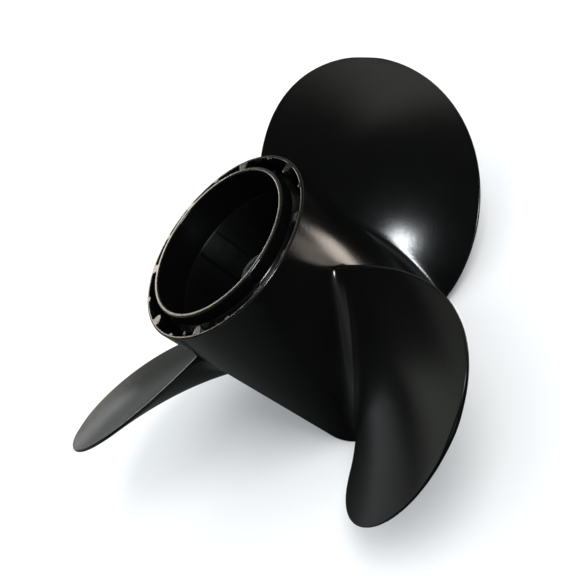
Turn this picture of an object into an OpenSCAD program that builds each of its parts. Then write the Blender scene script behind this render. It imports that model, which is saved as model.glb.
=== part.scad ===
// Three-blade boat propeller with a through-exhaust hub and a cushioned drive sleeve.
// The shaft axis is Z. The forward face of the barrel is at Z = 0 and the exhaust end is up.

/* [Propeller] */
// Diameter swept by the blade tips
tip_d = 355.6; // [330:0.1:380]
// Distance the helix advances in one turn
pitch = 482.6; // [430:0.1:530]

/* [Barrel] */
// Length of the barrel without the collar
barrel_l = 145; // [135:0.5:160]
// Outside diameter at the forward face
barrel_fore_d = 110.6; // [106:0.1:114]
// Outside diameter at the exhaust rim
barrel_aft_d = 121.2; // [118:0.1:126]
// Diameter of the exhaust duct
duct_d = 92; // [84:0.5:92.5]
// Diameter of the recess that takes the tail of the gearcase
recess_d = 97; // [94:0.5:100]
// Depth of the recess that takes the tail of the gearcase
recess_depth = 12; // [8:0.5:14]
// Chamfer on the outer edge of the forward face
face_chamfer = 1.2; // [0.5:0.1:2]

/* [Exhaust rim] */
// Wall of the outer rim at its top
rim_wall = 2; // [1.6:0.1:3]
// Wall of the outer rim at the channel's floor
rim_root_wall = 3; // [2.5:0.1:4]
// Depth of the channel between the rim and the collar
channel_depth = 20; // [15:1:24]
// Outside diameter of the collar
collar_d = 98.8; // [96:0.1:101]
// Wall of the collar
collar_wall = 2.6; // [2.2:0.1:3]
// Height of the collar above the rim
collar_rise = 4.6; // [2:0.1:8]
// Depth below the rim of the step inside the collar
step_depth = 17.5; // [12:0.5:19]
// Outside diameter of the shoulder round the foot of the collar
shoulder_d = 105.4; // [103:0.1:107]
// Depth of the shoulder below the rim
shoulder_depth = 7; // [5:0.5:10]
// Number of large pads on the rim, each followed by a small one
pad_pairs = 8; // [4:1:10]
// Width of a large pad
large_pad_w = 6.6; // [5:0.1:7]
// Distance from the axis to the tip of a large pad
large_pad_tip = 53; // [52.8:0.1:55]
// Width of a small pad
small_pad_w = 2.6; // [2:0.1:2.8]
// Distance from the axis to the tip of a small pad
small_pad_tip = 57.2; // [57.1:0.1:57.4]
// Height of a small pad
small_pad_h = 6; // [3:0.5:6.5]
// Depth of the pad tops below the rim
pad_drop = 0.2; // [0.2:0.1:1]
// Width of a tooth on the shoulder
tooth_w = 2.2; // [1.5:0.1:3]
// Distance from the axis to the end of a tooth
tooth_tip = 55.3; // [54:0.1:56]
// Angle of the first large pad
pad_phase = 20; // [0:1:45]

/* [Blades] */
// Half of the angle that a blade root takes round the barrel
root_half_angle = 38.9; // [34:0.1:42]
// How early the blade narrows towards its tip
narrowing = 1.42; // [1.2:0.01:1.8]
// Angle by which the tip trails behind the root
skew_angle = 10.9; // [5:0.1:15]
// How late the skew builds up along the blade
skew_power = 1.9; // [1.5:0.1:2.5]
// Angle by which the blade leans aft
rake_angle = 10.3; // [5:0.1:15]
// Height of the middle of a blade root
root_z = 58.5; // [55:0.5:62]
// Greatest thickness at the root
root_thickness = 13; // [10:0.5:15]
// Greatest thickness at the tip
tip_thickness = 3.2; // [2.5:0.1:4]
// Thickness of the edges
edge_thickness = 2; // [1.5:0.1:3]
// Thickness of the square-cut trailing edge where it meets the barrel
heel_thickness = 6; // [4:0.5:8]
// Radius of the fillet between a blade and the barrel
root_fillet = 8; // [5:0.5:10]

/* [Inner hub] */
// Outside diameter of the inner hub
inner_hub_d = 62; // [58:0.5:66]
// Bore of the inner hub
inner_bore_d = 50; // [46:0.5:52]
// Length of the inner hub
inner_hub_l = 70; // [64:0.5:72]
// Thickness of an exhaust rib
rib_t = 6; // [4:0.5:8]
// Distance of the rib ends from the ends of the inner hub
rib_inset = 6; // [3:0.5:10]

/* [Hub kit] */
// Outside diameter of the drive sleeve
sleeve_d = 32; // [30:0.5:34]
// Small diameter of the splined bore
spline_minor_d = 23.4; // [22:0.1:24]
// Large diameter of the splined bore
spline_major_d = 26; // [25:0.1:26.4]
// Number of spline grooves
spline_teeth = 15; // [13:1:17]
// Running clearance between the cushion and the sleeve, on the radius
sleeve_clearance = 0.05; // [0.02:0.01:0.1]
// Gap between the inner hub and the thrust washer
thrust_gap = 0.3; // [0.3:0.1:0.5]
// Gap between the floor of the gearcase recess and the thrust washer
recess_gap = 0.7; // [0.3:0.1:4]
// Thickness of the thrust washer
thrust_washer_t = 8; // [6:0.5:9]
// Outside diameter of the thrust washer
thrust_washer_d = 48; // [44:0.5:56]
// Plain bore that slides on the shaft
shaft_bore_d = 26.4; // [26:0.1:27]
// Thickness of the rear adapter
adapter_t = 7; // [6:0.5:9]
// Outside diameter of the rear adapter
adapter_d = 44; // [40:0.5:48]
// Thickness of the tab washer
tab_washer_t = 1.5; // [1:0.1:2]
// Size of the nut across its flats
nut_flats = 27; // [25:0.5:30]
// Height of the nut
nut_h = 15.5; // [14:0.5:17]
// Bore of the nut thread
nut_bore_d = 18.4; // [18:0.1:19]

/* [Hidden] */

$fn = 120;
blade_count = 3;
eps = 0.01;
tip_r = tip_d / 2;
fore_r = barrel_fore_d / 2;
aft_r = barrel_aft_d / 2;
cone_slope = (aft_r - fore_r) / barrel_l;
duct_r = duct_d / 2;
collar_r = collar_d / 2;
collar_top = barrel_l + collar_rise;
step_z = barrel_l - step_depth;
channel_floor = barrel_l - channel_depth;
shoulder_z = barrel_l - shoulder_depth;
// Half the height of the step inside the collar
step_half = 0.4;
// Chamfer on the edges of the rim's top
rim_edge = 0.4;
// Radius of the barrel at a height
function barrel_r(z) = fore_r + cone_slope * z;

// Millimetres of advance for each degree of turn, and for each radian
advance = pitch / 360;
helix_k = pitch / (2 * PI);
rake_slope = tan(rake_angle);

// Blade sampling: points across the chord, rings near the barrel and rings out to the tip
chord_steps = 16;
outer_rings = 14;
// Heights above the barrel of the rings in the fillet; the first is inside the barrel
fillet_heights = [-3, 0.4, 0.25 * root_fillet, 0.55 * root_fillet, root_fillet];
// Shares of the quarter wave that spaces the outer rings
first_outer = 0.14;
tip_ring = 0.985;
span_shares = [for (i = [1:outer_rings])
    sin(90 * (first_outer + (tip_ring - first_outer) * (i - 1) / (outer_rings - 1)))];
// How fast the blade thins out along its span
thickness_power = 0.85;
// Share of the thickness that lies on the aft face, which is nearly flat
face_share = 0.15;
// Share of the span over which the square heel thins out
heel_fade = 0.07;
// Share by which the root fillet shrinks at the leading edge
lead_fillet_cut = 0.4;
// Share by which the root fillet shrinks at the square heel
heel_fillet_cut = 0.7;

// Hub kit positions along the shaft
inner_hub_z = recess_depth + recess_gap + thrust_washer_t + thrust_gap;
inner_hub_end = inner_hub_z + inner_hub_l;
washer_top = inner_hub_z - thrust_gap;
sleeve_end = inner_hub_end + 1;
adapter_end = sleeve_end + adapter_t;
nut_z = adapter_end + tab_washer_t;
cushion_inset = 2;
// Angle of the first exhaust rib
rib_phase = 60;
// The thrust washer's forward end is this much smaller on the radius
washer_lead = 2;
// Slots round the rear adapter that take the bent tabs of the tab washer
adapter_slots = 8;
slot_w = 5;
slot_depth = 2.5;
// Tabs of the tab washer: width, height beside the nut, gap under those in the slots
tab_w = 4.4;
tab_l = 5;
tab_gap = 0.4;
// Margin of the tab washer inside the adapter's edge and outside the shaft's thread
washer_margin = 1;
// Round crown of the nut, its margin inside the flats, and the chamfer under the nut
crown_h = 3;
crown_margin = 1.5;
across_corners = nut_flats / cos(30);
nut_chamfer_d = 0.96 * across_corners;

CAST = [0.06, 0.06, 0.065];
BRASS = [0.72, 0.55, 0.28];
STEEL = [0.66, 0.67, 0.68];
RUBBER = [0.12, 0.12, 0.12];

module tube(d_out, d_in, h) {
    difference() {
        cylinder(d = d_out, h = h);
        translate([0, 0, -eps])
            cylinder(d = d_in, h = h + 2 * eps);
    }
}

// ---- Barrel ----

// Ring round the recess that takes the tail of the gearcase
module gearcase_ring() {
    color(CAST)
        rotate_extrude()
            polygon([
                [recess_d / 2, 0],
                [fore_r - face_chamfer, 0],
                [barrel_r(face_chamfer), face_chamfer],
                [barrel_r(recess_depth), recess_depth],
                [recess_d / 2, recess_depth]
            ]);
}

// Tube from the floor of the recess to the floor of the channel
module hub_barrel() {
    color(CAST)
        rotate_extrude()
            polygon([
                [duct_r, recess_depth],
                [barrel_r(recess_depth), recess_depth],
                [barrel_r(channel_floor), channel_floor],
                [duct_r, channel_floor]
            ]);
}

// Half section of the collar, with its round lip, the step inside and the shoulder outside
module collar_section() {
    lip_z = collar_top - collar_wall / 2;
    bore_r = collar_r - collar_wall;
    shoulder_r = shoulder_d / 2;
    polygon([
        [duct_r, channel_floor],
        [shoulder_r, channel_floor],
        [shoulder_r, shoulder_z],
        [collar_r, shoulder_z + shoulder_r - collar_r],
        [collar_r, lip_z],
        [bore_r, lip_z],
        [bore_r, step_z + step_half],
        [duct_r, step_z - step_half]
    ]);
    translate([collar_r - collar_wall / 2, lip_z])
        circle(d = collar_wall);
}

// The teeth stand under the small pads of the rim
module exhaust_collar() {
    color(CAST)
        union() {
            rotate_extrude()
                collar_section();
            for (i = [0:pad_pairs - 1])
                rotate(pad_phase + (i + 0.5) * 360 / pad_pairs)
                    translate([collar_r - collar_wall / 2, -tooth_w / 2, channel_floor])
                        cube([tooth_tip - collar_r + collar_wall / 2, tooth_w,
                            shoulder_z - channel_floor]);
        }
}

// Half section of the rim, which thins towards its top
module rim_section() {
    rim_r = aft_r - rim_wall;
    polygon([
        [barrel_r(channel_floor) - rim_root_wall, channel_floor],
        [barrel_r(channel_floor), channel_floor],
        [barrel_r(barrel_l - rim_edge), barrel_l - rim_edge],
        [aft_r - rim_edge, barrel_l],
        [rim_r + rim_edge, barrel_l],
        [rim_r, barrel_l - rim_edge]
    ]);
}

// Round-ended pad on the inside of the rim
module rim_pad(tip, w, h) {
    translate([tip + w / 2, 0, barrel_l - h])
        cylinder(d = w, h = h - pad_drop);
}

module outer_rim() {
    color(CAST)
        union() {
            rotate_extrude()
                rim_section();
            for (i = [0:pad_pairs - 1])
                rotate(pad_phase + i * 360 / pad_pairs) {
                    rim_pad(large_pad_tip, large_pad_w, channel_depth);
                    rotate(180 / pad_pairs)
                        rim_pad(small_pad_tip, small_pad_w, small_pad_h);
                }
        }
}

// ---- Blades ----

function lean_z(r) = rake_slope * (r - aft_r);
function half_angle(s) = root_half_angle * sqrt(1 - pow(s, narrowing));
function mid_angle(s) = skew_angle * pow(s, skew_power);
function span_of(r) = max(0, (r - aft_r) / (tip_r - aft_r));
// Radius of the barrel where the blade surface at this angle meets it
function foot_r(a) = (fore_r + cone_slope * (root_z + advance * a - rake_slope * aft_r))
    / (1 - cone_slope * rake_slope);

// Greatest thickness of the section, and thickness of its edges
function body_t(s) = root_thickness + (tip_thickness - root_thickness) * pow(s, thickness_power);
function heel_t(s) = (heel_thickness - edge_thickness) * exp(-s / heel_fade);
function edge_t(s, q) = edge_thickness + (q > 0 ? heel_t(s) * q * q : 0);
function section_t(s, q) = edge_t(s, q) + (body_t(s) - edge_t(s, q)) * (1 - q * q);
// Radius of the fillet along the chord, smaller at the leading edge and at the heel
function fillet_r(q) = root_fillet
    * (1 - lead_fillet_cut * pow(max(0, -q), 6) - heel_fillet_cut * pow(max(0, q), 12));
// How far the fillet stands out from the blade at a height above the barrel
function fillet_out(h, q) =
    let (f = fillet_r(q))
    h >= f ? 0 : f - sqrt(f * f - pow(f - max(h, 0), 2));

// Point on a blade. a: angle, r: radius, out: distance from the helix surface, towards aft
function blade_point(a, r, out, grip) =
    let (
        slant = sqrt(r * r + helix_k * helix_k),
        turn = -out * helix_k / slant * 180 / (PI * r),
        rise = out * r / slant,
        rr = r + cone_slope * rise * grip
    )
    [rr * cos(a + turn), rr * sin(a + turn), root_z + advance * a + lean_z(r) + rise];

// side: 1 for the aft face, -1 for the forward one. q: place on the chord, 1 at the trailing edge
function side_point(base_r, s, h, q, side, grip) =
    let (share = side > 0 ? face_share : 1 - face_share)
    blade_point(mid_angle(s) + q * half_angle(s), base_r,
        side * (share * section_t(s, q) + fillet_out(h, q)), grip);

// Ring at a fixed height above the barrel
function low_point(h, q, side) =
    let (a = q * root_half_angle)
    side_point(foot_r(a) + h, span_of(foot_r(a) + h), h, q, side, 1);

// Ring at a share of the way from the barrel to the tip
function high_point(u, q, side) =
    let (
        foot = foot_r(mid_angle(u) + q * half_angle(u)),
        r = foot + (tip_r - foot) * u
    )
    side_point(r, min(span_of(r), 1), r - foot, q, side, 1 - u);

chord = [for (j = [0:chord_steps]) -cos(180 * j / chord_steps)];
function ring(f) = concat(
    [for (q = chord) f(q, 1)],
    [for (j = [chord_steps:-1:0]) f(chord[j], -1)]);

module blade_solid() {
    rings = concat(
        [for (h = fillet_heights) ring(function(q, side) low_point(h, q, side))],
        [for (u = span_shares) ring(function(q, side) high_point(u, q, side))]);
    n = 2 * (chord_steps + 1);
    last = (len(rings) - 1) * n;
    walls = [for (i = [0:len(rings) - 2], j = [0:n - 1])
        let (a = i * n + j, b = i * n + (j + 1) % n)
        each [[a, b, b + n], [a, b + n, a + n]]];
    caps = [for (j = [0:chord_steps - 1])
        let (k = n - 1 - j)
        each [[j, k, k - 1], [j, k - 1, j + 1],
            [last + j, last + k - 1, last + k], [last + j, last + j + 1, last + k - 1]]];
    polyhedron(points = [for (r = rings) each r], faces = concat(walls, caps), convexity = 6);
}

module blade(i) {
    color(CAST)
        difference() {
            rotate(i * 360 / blade_count)
                blade_solid();
            cylinder(r1 = fore_r, r2 = aft_r, h = barrel_l);
        }
}

// ---- Inner hub and ribs ----

module inner_hub() {
    color(CAST)
        translate([0, 0, inner_hub_z])
            tube(inner_hub_d, inner_bore_d, inner_hub_l);
}

module exhaust_rib(i) {
    color(CAST)
        rotate(rib_phase + i * 360 / blade_count)
            intersection() {
                translate([inner_hub_d / 4, -rib_t / 2, inner_hub_z + rib_inset])
                    cube([duct_d / 2, rib_t, inner_hub_l - 2 * rib_inset]);
                tube(duct_d, inner_hub_d, barrel_l);
            }
}

// ---- Hub kit ----

module cushion_bush() {
    color(RUBBER)
        translate([0, 0, inner_hub_z + cushion_inset])
            tube(inner_bore_d, sleeve_d + 2 * sleeve_clearance, inner_hub_l - 2 * cushion_inset);
}

module spline_grooves(h) {
    groove_w = PI * spline_minor_d / spline_teeth / 2;
    for (i = [0:spline_teeth - 1])
        rotate(i * 360 / spline_teeth)
            translate([0, -groove_w / 2, 0])
                cube([spline_major_d / 2, groove_w, h]);
}

module drive_sleeve() {
    h = sleeve_end - washer_top;
    color(BRASS)
        translate([0, 0, washer_top])
            difference() {
                tube(sleeve_d, spline_minor_d, h);
                translate([0, 0, -eps])
                    spline_grooves(h + 2 * eps);
            }
}

module thrust_washer() {
    color(BRASS)
        translate([0, 0, washer_top - thrust_washer_t])
            difference() {
                union() {
                    cylinder(d1 = thrust_washer_d - 2 * washer_lead, d2 = thrust_washer_d,
                        h = thrust_washer_t / 2);
                    translate([0, 0, thrust_washer_t / 2])
                        cylinder(d = thrust_washer_d, h = thrust_washer_t / 2);
                }
                translate([0, 0, -eps])
                    cylinder(d = shaft_bore_d, h = thrust_washer_t + 2 * eps);
            }
}

module rear_adapter() {
    color(BRASS)
        translate([0, 0, sleeve_end])
            difference() {
                tube(adapter_d, spline_minor_d, adapter_t);
                translate([0, 0, -eps])
                    spline_grooves(adapter_t + 2 * eps);
                for (i = [0:adapter_slots - 1])
                    rotate(i * 360 / adapter_slots)
                        translate([adapter_d / 2 - slot_depth, -slot_w / 2, adapter_t / 2])
                            cube([slot_depth + 1, slot_w, adapter_t]);
            }
}

// Three tabs are bent down into the adapter and three up against the nut
module tab_washer() {
    color(STEEL)
        translate([0, 0, adapter_end])
            union() {
                tube(adapter_d - 2 * washer_margin, nut_bore_d + 2 * washer_margin, tab_washer_t);
                for (i = [0, 2, 4])
                    rotate(i * 360 / adapter_slots)
                        translate([adapter_d / 2 - washer_margin - tab_washer_t, -tab_w / 2,
                            tab_gap - adapter_t / 2])
                            cube([tab_washer_t, tab_w, adapter_t / 2]);
                for (i = [0, 1, 2])
                    rotate(30 + i * 120)
                        translate([nut_flats / 2 + eps, -tab_w, 0])
                            cube([tab_washer_t, 2 * tab_w, tab_l + tab_washer_t]);
            }
}

module prop_nut() {
    flat_h = nut_h - crown_h;
    color(STEEL)
        translate([0, 0, nut_z])
            difference() {
                union() {
                    intersection() {
                        cylinder(d = across_corners, h = flat_h, $fn = 6);
                        cylinder(d1 = nut_chamfer_d, d2 = nut_chamfer_d + 4 * flat_h, h = flat_h);
                    }
                    cylinder(d = nut_flats - 2 * crown_margin, h = nut_h);
                }
                translate([0, 0, -eps])
                    cylinder(d = nut_bore_d, h = nut_h + 2 * eps);
            }
}

gearcase_ring();
hub_barrel();
exhaust_collar();
outer_rim();
blade(0);  // blade_1
blade(1);  // blade_2
blade(2);  // blade_3
inner_hub();
exhaust_rib(0);  // exhaust_rib_1
exhaust_rib(1);  // exhaust_rib_2
exhaust_rib(2);  // exhaust_rib_3
cushion_bush();
drive_sleeve();
thrust_washer();
rear_adapter();
tab_washer();
prop_nut();
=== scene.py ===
# Looks of the boat propeller: a black painted casting with a machined hub kit inside it.
import math

import bmesh
import bpy
import numpy as np
from mathutils import Matrix, Vector


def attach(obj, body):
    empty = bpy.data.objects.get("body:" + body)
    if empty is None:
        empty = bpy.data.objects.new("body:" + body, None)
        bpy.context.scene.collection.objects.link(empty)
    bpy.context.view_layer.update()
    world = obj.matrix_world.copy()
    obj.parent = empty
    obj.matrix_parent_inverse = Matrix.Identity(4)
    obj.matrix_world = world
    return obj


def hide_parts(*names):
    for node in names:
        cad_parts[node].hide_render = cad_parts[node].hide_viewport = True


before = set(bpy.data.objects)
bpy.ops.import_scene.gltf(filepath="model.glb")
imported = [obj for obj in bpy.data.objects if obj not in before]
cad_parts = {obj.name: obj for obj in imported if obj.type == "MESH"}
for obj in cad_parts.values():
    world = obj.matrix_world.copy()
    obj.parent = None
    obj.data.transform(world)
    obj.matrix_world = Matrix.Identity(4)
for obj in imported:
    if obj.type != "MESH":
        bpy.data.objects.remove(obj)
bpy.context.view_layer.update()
MM = 0.001

# ---- Sizes of the casting, in millimetres, as in the CAD model ----
TIP_R = 177.8
PITCH = 482.6
BARREL_L = 145.0
FORE_R = 55.3
AFT_R = 60.6
CONE_SLOPE = (AFT_R - FORE_R) / BARREL_L
DUCT_R = 46.0
RECESS_R = 48.5
RECESS_DEPTH = 12.0
RIM_R = AFT_R - 2.0
# how much the rim thickens for each millimetre below its top
RIM_TAPER = 0.1
# radii of the rim's inner and outer top edges, and the radius of the place where they meet
RIM_EDGES = (0.45, 0.9)
RIM_TOP_R = RIM_R + 1.05
# how high the foot of the rim's wall stops above the channel's floor
WALL_FOOT = 1.0
FACE_CHAMFER = 1.2
CHANNEL_Z = BARREL_L - 20.0
COLLAR_R = 49.4
COLLAR_BORE = COLLAR_R - 2.6
COLLAR_TOP = BARREL_L + 4.6
SHOULDER_R = 52.7
SHOULDER_Z = BARREL_L - 7.0
# radius of the collar's lip
LIP = 0.8
STEP_Z = BARREL_L - 17.5
STEP_HALF = 0.4
PAD_PAIRS = 8
PAD_PHASE = math.radians(20.0)
# half width, depth from the rim's wall, and how square the end is, of a large and a small pad
PADS = ((3.3, RIM_R - 53.0, 2.6), (2.0, 1.4, 2.0))
TOOTH_W = 2.2
TOOTH_R = 55.3
TOOTH_BEVEL = 0.35
# how far a tooth reaches into the collar, and the channel's floor
TOOTH_ROOT, TOOTH_FOOT = 2, 1

# ---- Blades ----
BLADES = 3
ROOT_HALF = math.radians(38.9)
NARROWING = 1.42
SKEW = math.radians(10.9)
SKEW_POWER = 1.9
RAKE = math.tan(math.radians(10.3))
ROOT_Z = 58.5
ROOT_T = 13.0
TIP_T = 3.2
EDGE_T = 2.0
HEEL_T = 6.0
HEEL_FADE = 0.07
THICKNESS_POWER = 0.85
ROOT_FILLET = 8.0
# how much the fillet shrinks at each edge, and how close to the edge that happens
LEAD_FILLET_CUT, LEAD_FILLET_POWER = 0.4, 6
HEEL_FILLET_CUT, HEEL_FILLET_POWER = 0.7, 12
# share of the thickness on the aft face, which is nearly flat
FACE_SHARE = 0.15
HELIX_K = PITCH / (2 * math.pi)
CORNER_R = 1.0
# depth of a blade's first ring inside the barrel
BLADE_SUNK = 3.0
# how far the guard rings beside a rounded corner stand off it, so that flats shade flat
GUARD = 0.06

# ---- Colours and light ----
PAINT_DARK = (0.0012, 0.0014, 0.0012)
PAINT_LIGHT = (0.0022, 0.0025, 0.0022)
# the part of a noise's range that most of its values lie in
NOISE_SPAN = (0.3, 0.7)
FLOOR_HALF = 15
FLOOR_COLOR = (0.96, 0.96, 0.96)
# painted reflection: in gloss rays the floor is painted dark, darkest near a spot in front of the part;
# the spot, distances from it in metres, and how bright the paint sees the floor there
PAINTED_DARK_REFLECTION_SPOT = (0.06, -0.16, 0)
PAINTED_REFLECTION_NEAR_FAR = (0.2, 0.5, 0.01, 0.2)
SKY = (0.93, 0.97, 1.0)
# heights on the unit sphere, and how bright the paint sees the room there
HORIZON_BAND = ((0.0, 0.13), (0.22, 0.42), (0.34, 0.36), (0.55, 0.01))
HORIZON_TINT = (0.98, 1.04, 0.96)
WARM = (1.0, 0.9, 0.78)
COOL = (0.9, 0.96, 1.0)
LEMON = (1, 1, 0.92)
# middle of the part, which the far boxes face
PART_MIDDLE = Vector((0, 0, 0.08))
CAMERA_SPOT = Vector((-155.5, -479.5, 433.9)) * MM
CAMERA_AZIMUTH, CAMERA_ELEVATION, CAMERA_ROLL = (math.radians(a) for a in (-18.32, 34.23, 52.86))
SENSOR_W = 36
LENS = 64.4


def add(name, data):
    obj = bpy.data.objects.new(name, data)
    bpy.context.scene.collection.objects.link(obj)
    return obj


def add_bmesh(name, bm):
    mesh = bpy.data.meshes.new(name)
    bm.to_mesh(mesh)
    bm.free()
    return add(name, mesh)


def shade(obj, smooth_angle):
    obj.data.shade_smooth()
    obj.data.set_sharp_from_angle(angle=math.radians(smooth_angle))
    return obj


def add_mesh(name, verts, faces, smooth_angle):
    mesh = bpy.data.meshes.new(name)
    mesh.from_pydata([tuple(v) for v in verts], [], faces)
    bm = bmesh.new()
    bm.from_mesh(mesh)
    bmesh.ops.remove_doubles(bm, verts=bm.verts, dist=1e-7)
    bmesh.ops.recalc_face_normals(bm, faces=bm.faces)
    bm.to_mesh(mesh)
    bm.free()
    return shade(add(name, mesh), smooth_angle)


def quads(ring_count, n, closed):
    """Faces between rings of n points each. closed: the last ring also joins the first."""
    faces = []
    for i in range(ring_count if closed else ring_count - 1):
        m = (i + 1) % ring_count
        for j in range(n):
            k = (j + 1) % n
            faces.append((i * n + j, i * n + k, m * n + k, m * n + j))
    return faces


def rounded_run(points, radii, steps=7):
    """An open outline with its inner corners rounded; each corner also gets a near point on both sides."""
    out = []
    for i, (p, rad) in enumerate(zip(points, radii)):
        p = Vector(p)
        if rad == 0 or i in (0, len(points) - 1):
            out.append(tuple(p))
            continue
        a = (Vector(points[i - 1]) - p).normalized()
        b = (Vector(points[i + 1]) - p).normalized()
        half = a.angle(b) / 2
        reach = rad / math.tan(half)
        centre = p + (a + b).normalized() * rad / math.sin(half)
        start, end = p + a * reach - centre, p + b * reach - centre
        turn = -start.angle_signed(end)
        out.append(tuple(p + a * (reach + GUARD)))
        for k in range(steps + 1):
            c, s = math.cos(turn * k / steps), math.sin(turn * k / steps)
            out.append((centre.x + start.x * c - start.y * s, centre.y + start.x * s + start.y * c))
        out.append(tuple(p + b * (reach + GUARD)))
    return out


# ---- Blade surface ----
def half_angle(s):
    return ROOT_HALF * np.sqrt(np.clip(1 - s**NARROWING, 0, 1))


def mid_angle(s):
    return SKEW * s**SKEW_POWER


def foot_radius(a):
    """Radius of the barrel where the helix surface at angle a meets it."""
    rise = FORE_R + CONE_SLOPE * (ROOT_Z + HELIX_K * a - RAKE * AFT_R)
    return rise / (1 - CONE_SLOPE * RAKE)


def fillet_radius(q):
    """Radius of the root fillet at chord place q, which runs from -1, the leading edge, to 1, the heel."""
    lead = LEAD_FILLET_CUT * np.maximum(0, -q) ** LEAD_FILLET_POWER
    heel = HEEL_FILLET_CUT * np.maximum(0, q) ** HEEL_FILLET_POWER
    return ROOT_FILLET * (1 - lead - heel)


def section_thickness(s, q):
    heel = (HEEL_T - EDGE_T) * np.exp(-s / HEEL_FADE) * np.where(q > 0, q * q, 0)
    edge = EDGE_T + heel
    body = ROOT_T + (TIP_T - ROOT_T) * s**THICKNESS_POWER
    return edge + (body - edge) * (1 - q * q)


def settle(height, q):
    """Angle, radius and span share of the points at a height above the barrel, per chord place q."""
    s = np.clip(height / (TIP_R - AFT_R), 0, 1)
    for _ in range(6):
        a = mid_angle(s) + q * half_angle(s)
        r = np.minimum(foot_radius(a) + height, TIP_R)
        s = np.clip((r - AFT_R) / (TIP_R - AFT_R), 0, 1)
    return a, r, s


def blade_points(height, q, side, extra, corner):
    """Points of one ring on one side. corner: angle round the rounded edge, 90 degrees on the flat."""
    a, r, s = settle(height, q)
    slant = np.sqrt(r * r + HELIX_K**2)
    thick = section_thickness(s, q)
    tip_gap = np.clip((TIP_R - r) / CORNER_R, 0, 1)
    tip_round = np.sqrt(1 - (1 - tip_gap) ** 2)
    share = FACE_SHARE if side > 0 else 1 - FACE_SHARE
    middle = (FACE_SHARE - 0.5) * thick
    reach = side * (share * thick + extra)
    corner_r = np.minimum(CORNER_R, thick / 2)
    out = reach - side * corner_r * (1 - np.sin(corner))
    out = middle + (out - middle) * tip_round
    turn = -out * HELIX_K / slant / r
    rise = out * r / slant
    # near the barrel the points follow its cone
    on_cone = r + CONE_SLOPE * rise * (1 - s)
    return np.stack([on_cone * np.cos(a + turn), on_cone * np.sin(a + turn),
                     ROOT_Z + HELIX_K * a + RAKE * (r - AFT_R) + rise], 1)


def blade_ring(heights, extras, chord_steps=72, corner_steps=6):
    """One closed loop round the section. heights and extras are functions of the chord place q."""
    inner = -np.cos(np.pi * np.linspace(0, 1, chord_steps + 1))
    loop = []
    for side in (1, -1):
        _, r, s = settle(heights(np.array([1.0])), np.array([1.0]))
        chord = float((half_angle(s) * np.sqrt(r * r + HELIX_K**2))[0])
        e = min(CORNER_R / max(chord, 1e-6), 0.9)
        corner = np.linspace(0, np.pi / 2, corner_steps + 1)
        q_corner = 1 - e * (1 - np.cos(corner))
        flat = inner * (1 - e)
        q = np.concatenate([-q_corner, flat[1:-1], q_corner[::-1]])
        ang = np.concatenate([corner, np.full(len(flat) - 2, np.pi / 2), corner[::-1]])
        pts = blade_points(heights(q), q, side, extras(q), ang)
        loop.append(pts if side > 0 else pts[::-1])
    return np.concatenate(loop)


def blade_mesh(name, turn, fillet_rings=9, span_rings=64, tip_share=0.993):
    rings = [blade_ring(lambda q: np.full_like(q, -BLADE_SUNK), fillet_radius)]
    for i in range(fillet_rings + 1):
        b = math.pi / 2 * i / fillet_rings
        rings.append(blade_ring(lambda q: fillet_radius(q) * (1 - math.cos(b)),
                                lambda q: fillet_radius(q) * (1 - math.sin(b))))
    for i in range(1, span_rings + 1):
        v = math.sin(math.pi / 2 * tip_share * i / span_rings)

        def height(q):
            low = fillet_radius(q)
            share = np.full_like(q, v)
            a = mid_angle(share) + q * half_angle(share)
            return low + (TIP_R - foot_radius(a) - low) * v

        rings.append(blade_ring(height, np.zeros_like))
    n = len(rings[0])
    verts = np.concatenate(rings) * MM
    c, s = math.cos(turn), math.sin(turn)
    verts = verts @ np.array([[c, s, 0], [-s, c, 0], [0, 0, 1]])
    faces = quads(len(rings), n, closed=False)
    faces.append(tuple(range(n - 1, -1, -1)))
    faces.append(tuple(range((len(rings) - 1) * n, len(rings) * n)))
    return add_mesh(name, verts, faces, smooth_angle=60)


# ---- Materials ----
def material(name):
    mat = bpy.data.materials.new(name)
    mat.use_nodes = True
    nodes = mat.node_tree.nodes
    return mat, nodes, mat.node_tree.links, nodes["Principled BSDF"]


def noise(nodes, links, scale, detail=3.0, roughness=0.5):
    tex = nodes.new("ShaderNodeTexNoise")
    tex.inputs["Scale"].default_value = scale
    tex.inputs["Detail"].default_value = detail
    tex.inputs["Roughness"].default_value = roughness
    place = nodes.new("ShaderNodeTexCoord")
    links.new(place.outputs["Object"], tex.inputs["Vector"])
    return tex.outputs["Fac"]


def spread(nodes, links, value, low, high, out_low, out_high):
    step = nodes.new("ShaderNodeMapRange")
    for key, number in zip(("From Min", "From Max", "To Min", "To Max"), (low, high, out_low, out_high)):
        step.inputs[key].default_value = number
    links.new(value, step.inputs["Value"])
    return step.outputs["Result"]


def blend_colors(nodes, links, value, low, high):
    ramp = nodes.new("ShaderNodeValToRGB")
    ramp.color_ramp.elements[0].color = (*low, 1)
    ramp.color_ramp.elements[1].color = (*high, 1)
    links.new(value, ramp.inputs["Fac"])
    return ramp.outputs["Color"]


def total(nodes, links, a, b):
    add = nodes.new("ShaderNodeMath")
    add.operation = "ADD"
    links.new(a, add.inputs[0])
    links.new(b, add.inputs[1])
    return add.outputs["Value"]


def color_by(nodes, links, shader, value, low, high):
    links.new(blend_colors(nodes, links, value, low, high), shader.inputs["Base Color"])


def roughness_by(nodes, links, shader, value, low, high):
    links.new(spread(nodes, links, value, *NOISE_SPAN, low, high), shader.inputs["Roughness"])


def relief(nodes, links, shader, height, strength, distance):
    bump = nodes.new("ShaderNodeBump")
    bump.inputs["Strength"].default_value = strength
    bump.inputs["Distance"].default_value = distance
    links.new(height, bump.inputs["Height"])
    links.new(bump.outputs["Normal"], shader.inputs["Normal"])


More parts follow.
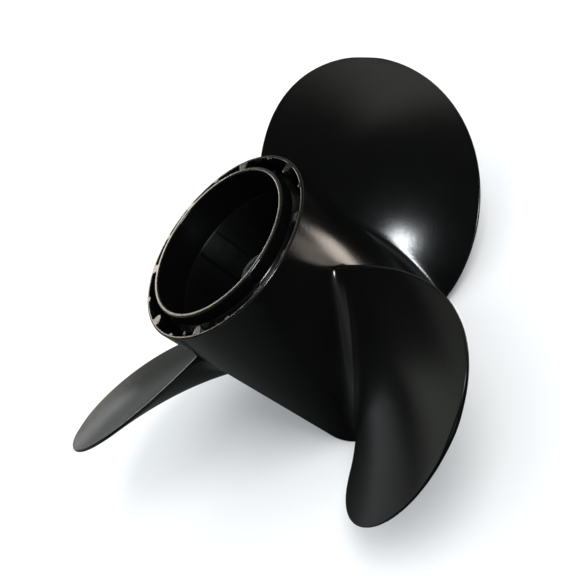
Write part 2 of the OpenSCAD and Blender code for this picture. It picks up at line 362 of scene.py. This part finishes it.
def black_paint():
    """Smooth satin paint with a fine orange peel."""
    mat, nodes, links, shader = material("black_paint")
    color_by(nodes, links, shader, noise(nodes, links, scale=35), PAINT_DARK, PAINT_LIGHT)
    roughness_by(nodes, links, shader, noise(nodes, links, scale=60, detail=5), 0.165, 0.19)
    fine = noise(nodes, links, scale=1500, detail=2)
    coarse = noise(nodes, links, scale=600, detail=2)
    relief(nodes, links, shader, total(nodes, links, fine, coarse), strength=0.16, distance=0.2 * MM)
    return mat


def duct_paint():
    """Thin dull overspray inside the exhaust duct."""
    mat, nodes, links, shader = material("duct_paint")
    color_by(nodes, links, shader, noise(nodes, links, scale=80, detail=5), PAINT_DARK, PAINT_LIGHT)
    roughness_by(nodes, links, shader, noise(nodes, links, scale=90, detail=5), 0.28, 0.4)
    shader.inputs["Specular IOR Level"].default_value = 0.08
    grain = noise(nodes, links, scale=700, detail=4, roughness=0.6)
    relief(nodes, links, shader, grain, strength=0.25, distance=0.3 * MM)
    return mat


def turned_metal(name, low, high, rough, scale):
    """Metal turned on a lathe: fine rings round the shaft axis, stains and small nicks."""
    mat, nodes, links, shader = material(name)
    color_by(nodes, links, shader, noise(nodes, links, scale, detail=6, roughness=0.6), low, high)
    shader.inputs["Metallic"].default_value = 1.0
    roughness_by(nodes, links, shader, noise(nodes, links, scale * 3, detail=5), rough, rough + 0.14)
    rings = nodes.new("ShaderNodeTexWave")
    rings.wave_type = "RINGS"
    rings.rings_direction = "Z"
    rings.inputs["Scale"].default_value = 900
    rings.inputs["Distortion"].default_value = 0.6
    place = nodes.new("ShaderNodeTexCoord")
    links.new(place.outputs["Object"], rings.inputs["Vector"])
    nicks = noise(nodes, links, scale=600, detail=4, roughness=0.7)
    height = total(nodes, links, rings.outputs["Fac"], nicks)
    relief(nodes, links, shader, height, strength=0.05, distance=0.06 * MM)
    return mat


def rubber():
    mat, nodes, links, shader = material("cushion_rubber")
    color_by(nodes, links, shader, noise(nodes, links, scale=220, detail=5),
             (0.012, 0.012, 0.012), (0.03, 0.03, 0.029))
    roughness_by(nodes, links, shader, noise(nodes, links, scale=300), 0.6, 0.8)
    relief(nodes, links, shader, noise(nodes, links, scale=1800), strength=0.3, distance=0.2 * MM)
    return mat


def paint(obj, mat):
    obj.data.materials.clear()
    obj.data.materials.append(mat)
    return obj


PAINT = black_paint()
DUCT_PAINT = duct_paint()
BRONZE = turned_metal("bronze", (0.42, 0.27, 0.11), (0.64, 0.44, 0.19), rough=0.24, scale=60)
STAINLESS = turned_metal("stainless", (0.46, 0.46, 0.46), (0.6, 0.61, 0.62), rough=0.22, scale=70)
RUBBER = rubber()


def part(obj, mat, slot, body, *nodes):
    """Give a new piece its material and body; slot is not used. nodes: the CAD nodes it replaces, if any.
    """
    paint(obj, mat)
    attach(obj, body)
    if nodes:
        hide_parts(*nodes)
    return obj


# ---- Casting ----
for i in range(BLADES):
    blade = blade_mesh(f"blade_skin_{i + 1}", 2 * math.pi * i / BLADES)
    part(blade, PAINT, "black_paint", "casting", f"blade_{i + 1}")


def barrel_radius(z):
    return FORE_R + CONE_SLOPE * z


def rim_stations(between=14, across=28):
    """Angles round the rim, dense across the pads, and the depth of the pads at each."""
    angles, depths = [], []
    for i in range(2 * PAD_PAIRS):
        half, depth, power = PADS[i % 2]
        middle = PAD_PHASE + math.pi * i / PAD_PAIRS
        share = np.sin(np.linspace(-math.pi / 2, math.pi / 2, across + 1))
        angles.append(middle + half * share / RIM_R)
        depths.append(depth * np.sqrt(1 - np.abs(share) ** power))
        start = middle + half / RIM_R
        end = middle + math.pi / PAD_PAIRS - PADS[(i + 1) % 2][0] / RIM_R
        angles.append(np.linspace(start, end, between + 2)[1:-1])
        depths.append(np.zeros(between))
    return np.concatenate(angles), np.concatenate(depths)


def barrel():
    """The barrel, its channel, pads and collar as one skin of rings that share their angles."""
    angle, pad = rim_stations()
    ray = np.stack([np.cos(angle), np.sin(angle)], 1)

    def wall(z):
        return ray * np.minimum(RIM_R - RIM_TAPER * (BARREL_L - z), RIM_R - pad)[:, None]

    top = wall(BARREL_L)
    along = np.roll(top, -1, 0) - np.roll(top, 1, 0)
    into = np.stack([along[:, 1], -along[:, 0]], 1) / np.linalg.norm(along, axis=1)[:, None]
    rings = []

    def circle(points):
        for r, z in points:
            rings.append((ray * r, z))

    inner_edge, outer_edge = RIM_EDGES
    circle(rounded_run([(DUCT_R, RECESS_DEPTH), (RECESS_R, RECESS_DEPTH), (RECESS_R, 0), (FORE_R, 0),
                        (barrel_radius(BARREL_L), BARREL_L), (RIM_TOP_R, BARREL_L)],
                       [0.5, 0.5, 0.6, FACE_CHAMFER, outer_edge, 0]))
    for k in range(-1, 7):
        turn = math.pi / 2 * max(k, 0) / 6
        reach = inner_edge * (1 - math.sin(turn)) + (GUARD if k < 0 else 0)
        rings.append((top + into * reach, BARREL_L - inner_edge * (1 - math.cos(turn))))
    for k in range(1, 9):
        z = BARREL_L - inner_edge - (BARREL_L - inner_edge - CHANNEL_Z - WALL_FOOT) * k / 8
        rings.append((wall(z), z))
    circle(rounded_run([(SHOULDER_R + 1.5, CHANNEL_Z), (SHOULDER_R, CHANNEL_Z), (SHOULDER_R, SHOULDER_Z),
                        (COLLAR_R, SHOULDER_Z + SHOULDER_R - COLLAR_R), (COLLAR_R, COLLAR_TOP),
                        (COLLAR_BORE, COLLAR_TOP), (COLLAR_BORE, STEP_Z + STEP_HALF),
                        (DUCT_R, STEP_Z - STEP_HALF)],
                       [0, 0.8, 0.9, 1.5, LIP, LIP, 0.1, 0.3]))
    n = len(angle)
    verts = np.concatenate([np.column_stack([xy, np.full(n, z)]) for xy, z in rings]) * MM
    return add_mesh("barrel_skin", verts, quads(len(rings), n, closed=True), smooth_angle=45)


def tooth(bm, turn):
    """One tooth of the collar's shoulder, under a small pad."""
    low, high = CHANNEL_Z - TOOTH_FOOT, SHOULDER_Z
    made = bmesh.ops.create_cube(bm, size=1)["verts"]
    size = Matrix.Diagonal(((TOOTH_R - COLLAR_R + TOOTH_ROOT) * MM, TOOTH_W * MM, (high - low) * MM, 1))
    place = Matrix.Translation(((TOOTH_R + COLLAR_R - TOOTH_ROOT) / 2 * MM, 0, (low + high) / 2 * MM))
    bmesh.ops.transform(bm, matrix=Matrix.Rotation(turn, 4, "Z") @ place @ size, verts=made)


def teeth():
    bm = bmesh.new()
    for i in range(PAD_PAIRS):
        tooth(bm, PAD_PHASE + (2 * i + 1) * math.pi / PAD_PAIRS)
    bmesh.ops.bevel(bm, geom=list(bm.edges), offset=TOOTH_BEVEL * MM, segments=4, profile=0.5,
                    affect="EDGES")
    return shade(add_bmesh("collar_teeth", bm), smooth_angle=50)


barrel_skin = part(barrel(), PAINT, "black_paint", "casting",
                   "gearcase_ring", "hub_barrel", "exhaust_collar", "outer_rim")
# the duct inside the collar is dull
barrel_skin.data.materials.append(DUCT_PAINT)
for face in barrel_skin.data.polygons:
    if face.center.xy.length < (COLLAR_BORE + 0.05) * MM:
        face.material_index = 1
part(teeth(), PAINT, "black_paint", "casting")

for name in ("inner_hub", "exhaust_rib_1", "exhaust_rib_2", "exhaust_rib_3"):
    paint(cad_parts[name], DUCT_PAINT)
for name in ("drive_sleeve", "thrust_washer", "rear_adapter"):
    paint(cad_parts[name], BRONZE)
for name in ("tab_washer", "prop_nut"):
    paint(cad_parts[name], STAINLESS)
paint(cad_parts["cushion_bush"], RUBBER)


# ---- Stage, camera and lights ----
def mix_by_gloss(nodes, links, seen, mirrored, socket):
    """One colour for what is seen and lit, and a darker one for what gloss paint mirrors; on the floor
    that darker colour is a painted reflection.
    """
    path = nodes.new("ShaderNodeLightPath")
    mix = nodes.new("ShaderNodeMix")
    mix.data_type = "RGBA"
    links.new(path.outputs["Is Glossy Ray"], mix.inputs[0])
    mix.inputs[6].default_value = (*seen, 1)
    links.new(mirrored, mix.inputs[7])
    links.new(mix.outputs[2], socket)


def floor():
    bm = bmesh.new()
    bmesh.ops.create_grid(bm, x_segments=1, y_segments=1, size=FLOOR_HALF)
    obj = add_bmesh("floor", bm)
    mat, nodes, links, shader = material("floor")
    shader.inputs["Roughness"].default_value = 1.0
    shader.inputs["Specular IOR Level"].default_value = 0.0
    place = nodes.new("ShaderNodeTexCoord")
    reach = nodes.new("ShaderNodeVectorMath")
    reach.operation = "DISTANCE"
    reach.inputs[1].default_value = PAINTED_DARK_REFLECTION_SPOT
    links.new(place.outputs["Object"], reach.inputs[0])
    # painted reflection: what the paint mirrors of the floor is painted dark, darkest near the spot in
    # front of the part
    mirrored = spread(nodes, links, reach.outputs["Value"], *PAINTED_REFLECTION_NEAR_FAR)
    mix_by_gloss(nodes, links, FLOOR_COLOR, mirrored, shader.inputs["Base Color"])
    paint(obj, mat)


def surroundings():
    """A white room that the paint sees as a dim band round the horizon."""
    world = bpy.data.worlds.new("world")
    bpy.context.scene.world = world
    world.use_nodes = True
    nodes, links = world.node_tree.nodes, world.node_tree.links
    place = nodes.new("ShaderNodeTexCoord")
    split = nodes.new("ShaderNodeSeparateXYZ")
    links.new(place.outputs["Generated"], split.inputs["Vector"])
    ramp = nodes.new("ShaderNodeValToRGB")
    stops = ramp.color_ramp.elements
    while len(stops) < len(HORIZON_BAND):
        stops.new(0.5)
    for stop, (height, bright) in zip(stops, HORIZON_BAND):
        stop.position = height
        stop.color = (*(tint * bright for tint in HORIZON_TINT), 1)
    links.new(split.outputs["Z"], ramp.inputs["Fac"])
    mix_by_gloss(nodes, links, SKY, ramp.outputs["Color"], nodes["Background"].inputs["Color"])


def camera():
    data = bpy.data.cameras.new("camera")
    cam = add("camera", data)
    data.sensor_width = SENSOR_W
    data.lens = LENS
    flat = math.cos(CAMERA_ELEVATION)
    back = Vector((math.sin(CAMERA_AZIMUTH) * flat, -math.cos(CAMERA_AZIMUTH) * flat,
                   math.sin(CAMERA_ELEVATION)))
    cam.rotation_mode = "QUATERNION"
    level = (-back).to_track_quat("-Z", "Y")
    cam.rotation_quaternion = level @ Matrix.Rotation(-CAMERA_ROLL, 3, "Z").to_quaternion()
    cam.location = CAMERA_SPOT
    data.clip_start = 0.01
    data.clip_end = 100
    bpy.context.scene.camera = cam


def soft_box(name, spot, target, size, power, color=(1, 1, 1), gloss=True):
    """A soft box that lights either gloss or matt surfaces, and is never seen itself."""
    data = bpy.data.lights.new(name, "AREA")
    data.shape = "RECTANGLE"
    data.size, data.size_y = size
    data.energy = power
    data.color = color
    obj = add(name, data)
    obj.location = spot
    obj.rotation_mode = "QUATERNION"
    obj.rotation_quaternion = (Vector(target) - Vector(spot)).to_track_quat("-Z", "Y")
    obj.visible_camera = False
    obj.visible_glossy = gloss
    obj.visible_diffuse = not gloss


def far_box(name, azimuth, elevation, distance, size, power, color=(1, 1, 1), gloss=True):
    """A soft box that faces the middle of the part from a direction given in degrees."""
    a, e = math.radians(azimuth), math.radians(elevation)
    ray = Vector((math.cos(a) * math.cos(e), math.sin(a) * math.cos(e), math.sin(e)))
    soft_box(name, PART_MIDDLE + distance * ray, PART_MIDDLE, size, power, color, gloss)


floor()
camera()
soft_box("warm_low", spot=(0.138, -0.128, 0.004), target=(0.138, -0.128, 1),
         size=(0.055, 0.05), power=0.078, color=WARM)
soft_box("warm_edge", spot=(0.1, -0.19, 0.004), target=(0.1, -0.19, 1),
         size=(0.07, 0.07), power=0.035, color=WARM)
far_box("key", azimuth=-104, elevation=39.5, distance=1.2, size=(0.24, 0.32), power=11, color=COOL)
far_box("back", azimuth=76, elevation=21, distance=1.5, size=(0.42, 0.56), power=6, color=WARM)
far_box("low", azimuth=80, elevation=-1, distance=1.5, size=(0.35, 0.1), power=0.12)
soft_box("top", spot=(0.36, 0.39, 1.54), target=(0.16, 0.02, 0.09),
         size=(1.0, 0.95), power=2.6, color=LEMON)
far_box("shadow", azimuth=-80, elevation=50, distance=2.2, size=(0.9, 0.9), power=26, gloss=False)
surroundings()
bpy.context.scene.view_settings.view_transform = "Standard"
